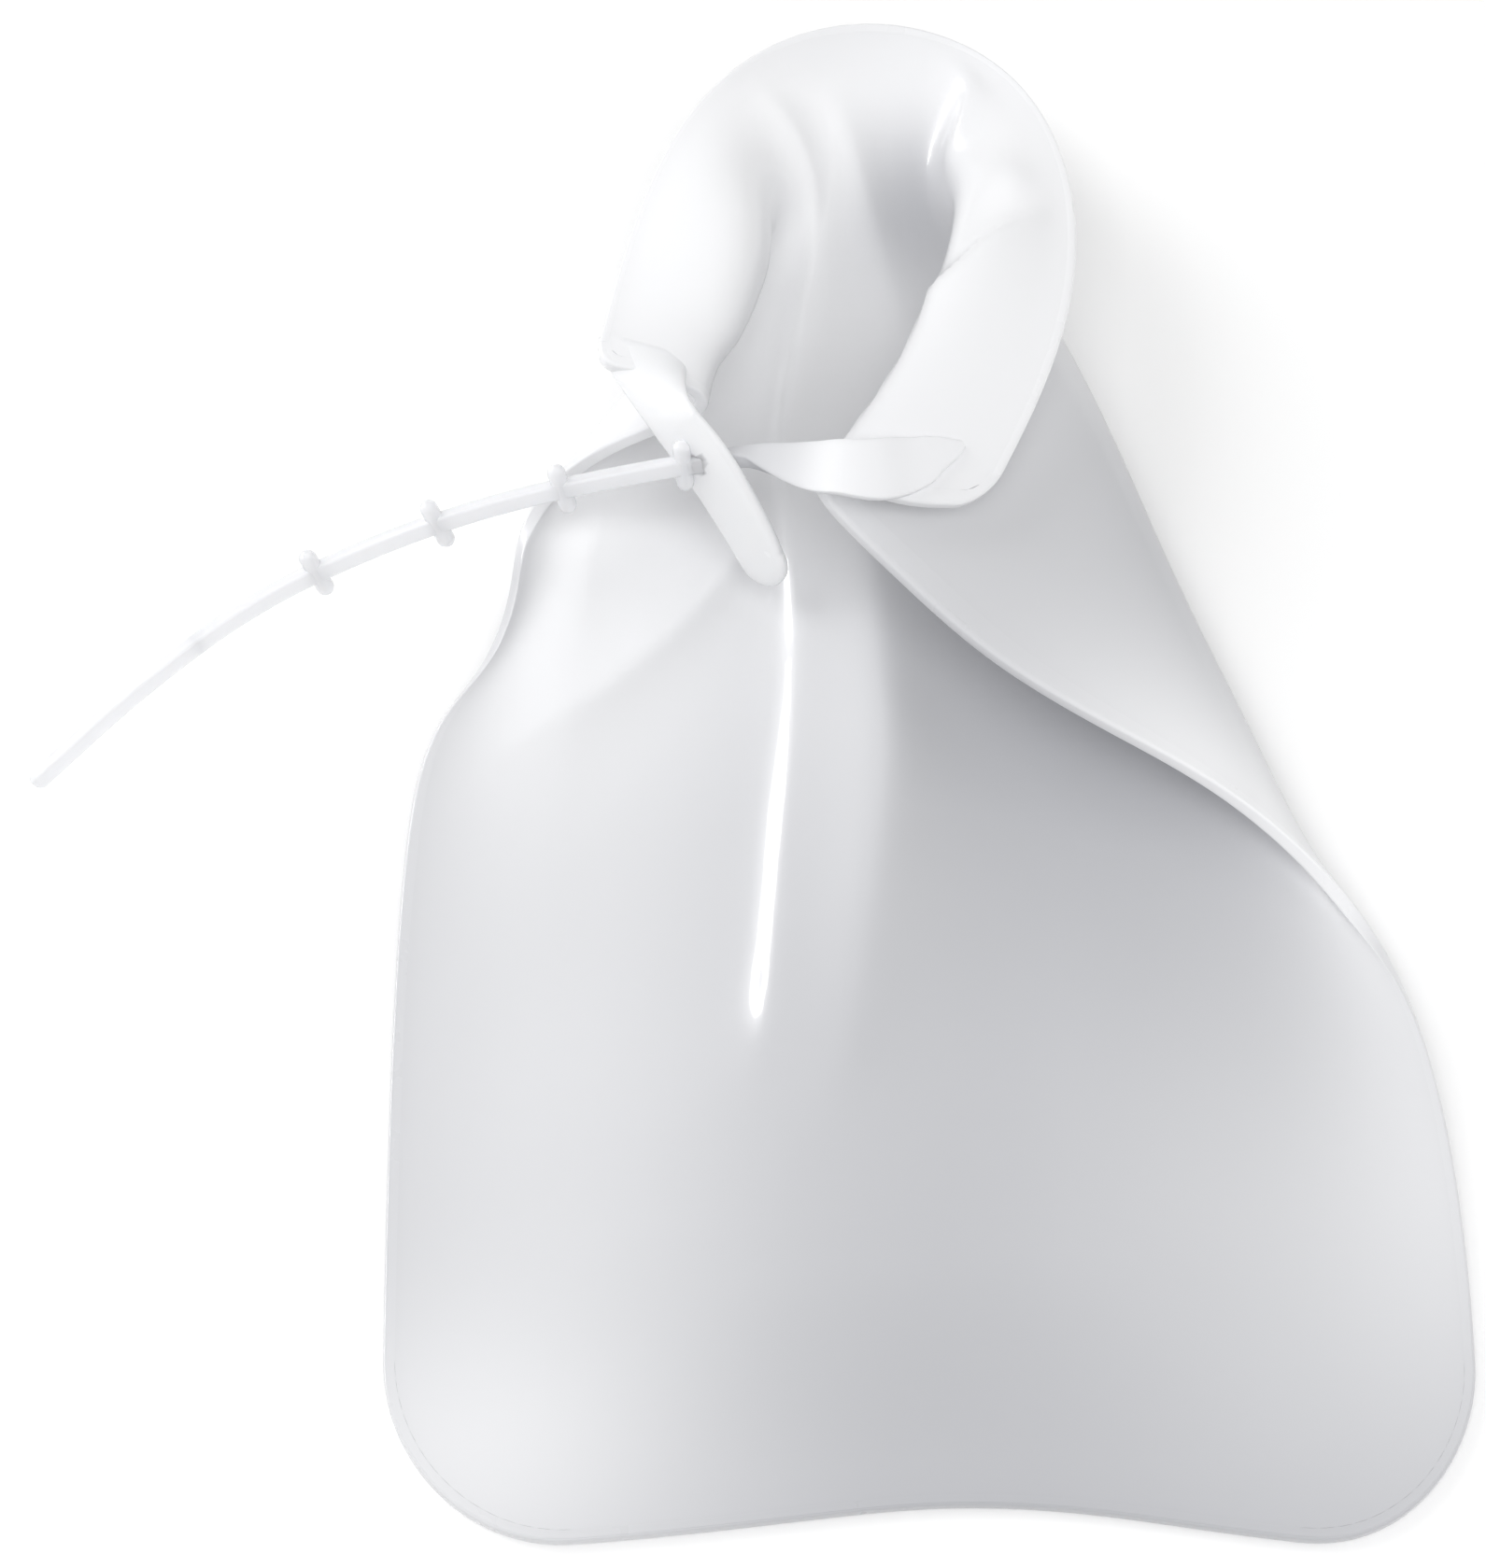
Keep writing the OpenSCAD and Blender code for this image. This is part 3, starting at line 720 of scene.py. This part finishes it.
TAB_HALF = 1.25              # half the leaf's thickness
TAB_ROOT_HALF = TAB_HALF + 0.1
TAB_ROOT_T = 295.5           # the middle of the tab's root on the collar's end, and half the root's length
TAB_ROOT_LONG = 10
TAB_ROOT_IN = 6              # how far inside the collar's edge the root starts
TAB_LEAVES = 13              # how strongly the root leaves the collar, and meets the leaf, along their ways
TAB_MEETS = 15
# [distance along the tab, how far its middle is off the tab's line, half width]
TAB_SHAPE = [[9, 1.9, 6.4], [16, 2.7, 6.7], [24, 2.6, 6.6], [32, 1.9, 6.2], [38.6, 0.8, 5.6]]
TAB_TIP_TURN = np.radians([12, 24, 36, 48, 58, 67, 75, 82, 87])
SLOT_SIZE = 1.2              # the slot's section against the strap's
SLOT_CUT = 6                 # how far the cutter reaches on each side


def tab_root(way, across, end):
    """Rings from the collar's left end to the leaf's first ring, along smooth curves."""
    h = np.linspace(0, 1, 26)[:-1, None, None]

    def middle(q):
        t = TAB_ROOT_T - TAB_ROOT_LONG * q
        start = place(TAB_ROOT_IN - HALF_W, t, PLIES / 2) / MM
        leave = unit(place(1 - HALF_W, t, PLIES / 2) / MM - start)
        meet = end + TAB_SHAPE[0][2] * q[:, None] * across
        return ((2 * h**3 - 3 * h**2 + 1) * start + (h**3 - 2 * h**2 + h) * TAB_LEAVES * leave
                + (3 * h**2 - 2 * h**3) * meet + (h**3 - h**2) * TAB_MEETS * way)

    centres = middle(LEAF_ACROSS)
    sideways = middle(LEAF_ACROSS + 0.02) - middle(LEAF_ACROSS - 0.02)
    out = unit(np.cross(np.gradient(centres, axis=0), sideways))
    half = TAB_ROOT_HALF - (TAB_ROOT_HALF - TAB_HALF) * h
    return (centres + half * LEAF_THROUGH[None, :, None] * out) * MM


def cut_slot(piece):
    """Cuts the strap's slot through a piece."""
    x, y, z = axes(strap_way, STRAP_ROLL)
    reach = np.array([-SLOT_CUT, SLOT_CUT])[:, None, None]
    hole = SLOT_AT + reach * x + SLOT_SIZE * (SECTION[None, :, :1] * y + SECTION[None, :, 1:] * z)
    cutter = new_piece("slot_hole", *tube(hole * MM), TAB_LOOK)
    cut = piece.modifiers.new("slot", "BOOLEAN")
    cut.object = cutter
    cut.solver = "EXACT"
    depsgraph = bpy.context.evaluated_depsgraph_get()
    piece.data = bpy.data.meshes.new_from_object(piece.evaluated_get(depsgraph))
    piece.modifiers.clear()
    bpy.data.objects.remove(cutter)


def tab_piece():
    """The tab grows out of the collar's left end and turns down into a leaf with a round tip."""
    x, y, _ = axes(TAB_TO - TAB_FROM, TAB_ROLL)
    on = lambda d, off: TAB_FROM + d * x + off * y
    rows = loft([[*on(d, off), *y, half, TAB_HALF] for d, off, half in TAB_SHAPE], 40)
    d, off, half = TAB_SHAPE[-1]
    tip = np.array([[*on(d + half * math.sin(f), off), *y, half * math.cos(f), TAB_HALF * math.cos(f) ** 0.35]
                    for f in TAB_TIP_TURN])
    leaf = leaf_rings(np.vstack([rows, tip]))
    root = tab_root(x, y, on(*TAB_SHAPE[0][:2]))
    piece = new_piece("tab_leaf", *tube(np.concatenate([root, leaf])), TAB_LOOK, sharp=60)
    cut_slot(piece)
    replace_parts(piece, "tab_root", "slot_tab", "tab_tip")
    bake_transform(piece)


tab_piece()

# ---------------------------------------------------------------- floor, light and camera
TARGET = Vector((-0.0338, 0.0868, 0.015))
ELEVATION = math.radians(65)
DISTANCE = 0.9
SENSOR_WIDTH = 36
LENS = 112.2


def floor_look():
    material = bpy.data.materials.new("floor")
    material.use_nodes = True
    shader = material.node_tree.nodes["Principled BSDF"]
    shader.inputs["Base Color"].default_value = (0.98, 0.98, 0.98, 1)
    shader.inputs["Roughness"].default_value = 0.7
    return material


bpy.ops.mesh.primitive_plane_add(size=8, location=(0, 0, cad_low.z - 0.0004))
floor = bpy.context.object
floor.name = "floor"
floor.data.materials.append(floor_look())


def area_light(name, place_at, size, power):
    """A rectangular lamp at a place relative to the camera's target, aimed at the target."""
    data = bpy.data.lights.new(name, "AREA")
    data.shape = "RECTANGLE"
    data.size, data.size_y = size
    data.energy = power
    light = bpy.data.objects.new(name, data)
    bpy.context.collection.objects.link(light)
    light.location = TARGET + Vector(place_at)
    light.rotation_euler = (-Vector(place_at)).to_track_quat("-Z", "Y").to_euler()
    return light


# The three broad lamps are left out of reflections. The strip, long and level, makes only the highlights.
key = area_light("key", (-0.76, 0.46, 0.64), (0.6, 0.9), 6.9)
fill = area_light("fill", (0.1, -0.5, 1.1), (1.0, 1.0), 9)
side = area_light("side", (1.0, 0.05, 0.4), (0.8, 0.8), 2.2)
for light in (key, fill, side):
    light.visible_glossy = False
strip = area_light("strip", (-0.85, 0.42, 0.31), (0.8, 0.09), 7)
strip.visible_diffuse = False

world = bpy.data.worlds.new("studio")
world.use_nodes = True
world.node_tree.nodes["Background"].inputs["Color"].default_value = (1, 1, 1, 1)
world.node_tree.nodes["Background"].inputs["Strength"].default_value = 0.34
bpy.context.scene.world = world

camera = bpy.data.objects.new("camera", bpy.data.cameras.new("camera"))
bpy.context.collection.objects.link(camera)
back = Vector((0, -math.cos(ELEVATION), math.sin(ELEVATION)))
camera.location = TARGET + DISTANCE * back
camera.rotation_euler = back.to_track_quat("Z", "Y").to_euler()
camera.data.sensor_fit = "AUTO"
camera.data.sensor_width = SENSOR_WIDTH
camera.data.lens = LENS
bpy.context.scene.camera = camera
bpy.context.scene.view_settings.view_transform = "Standard"
bpy.context.scene.cycles.max_bounces = 8
bpy.context.scene.cycles.transparent_max_bounces = 10
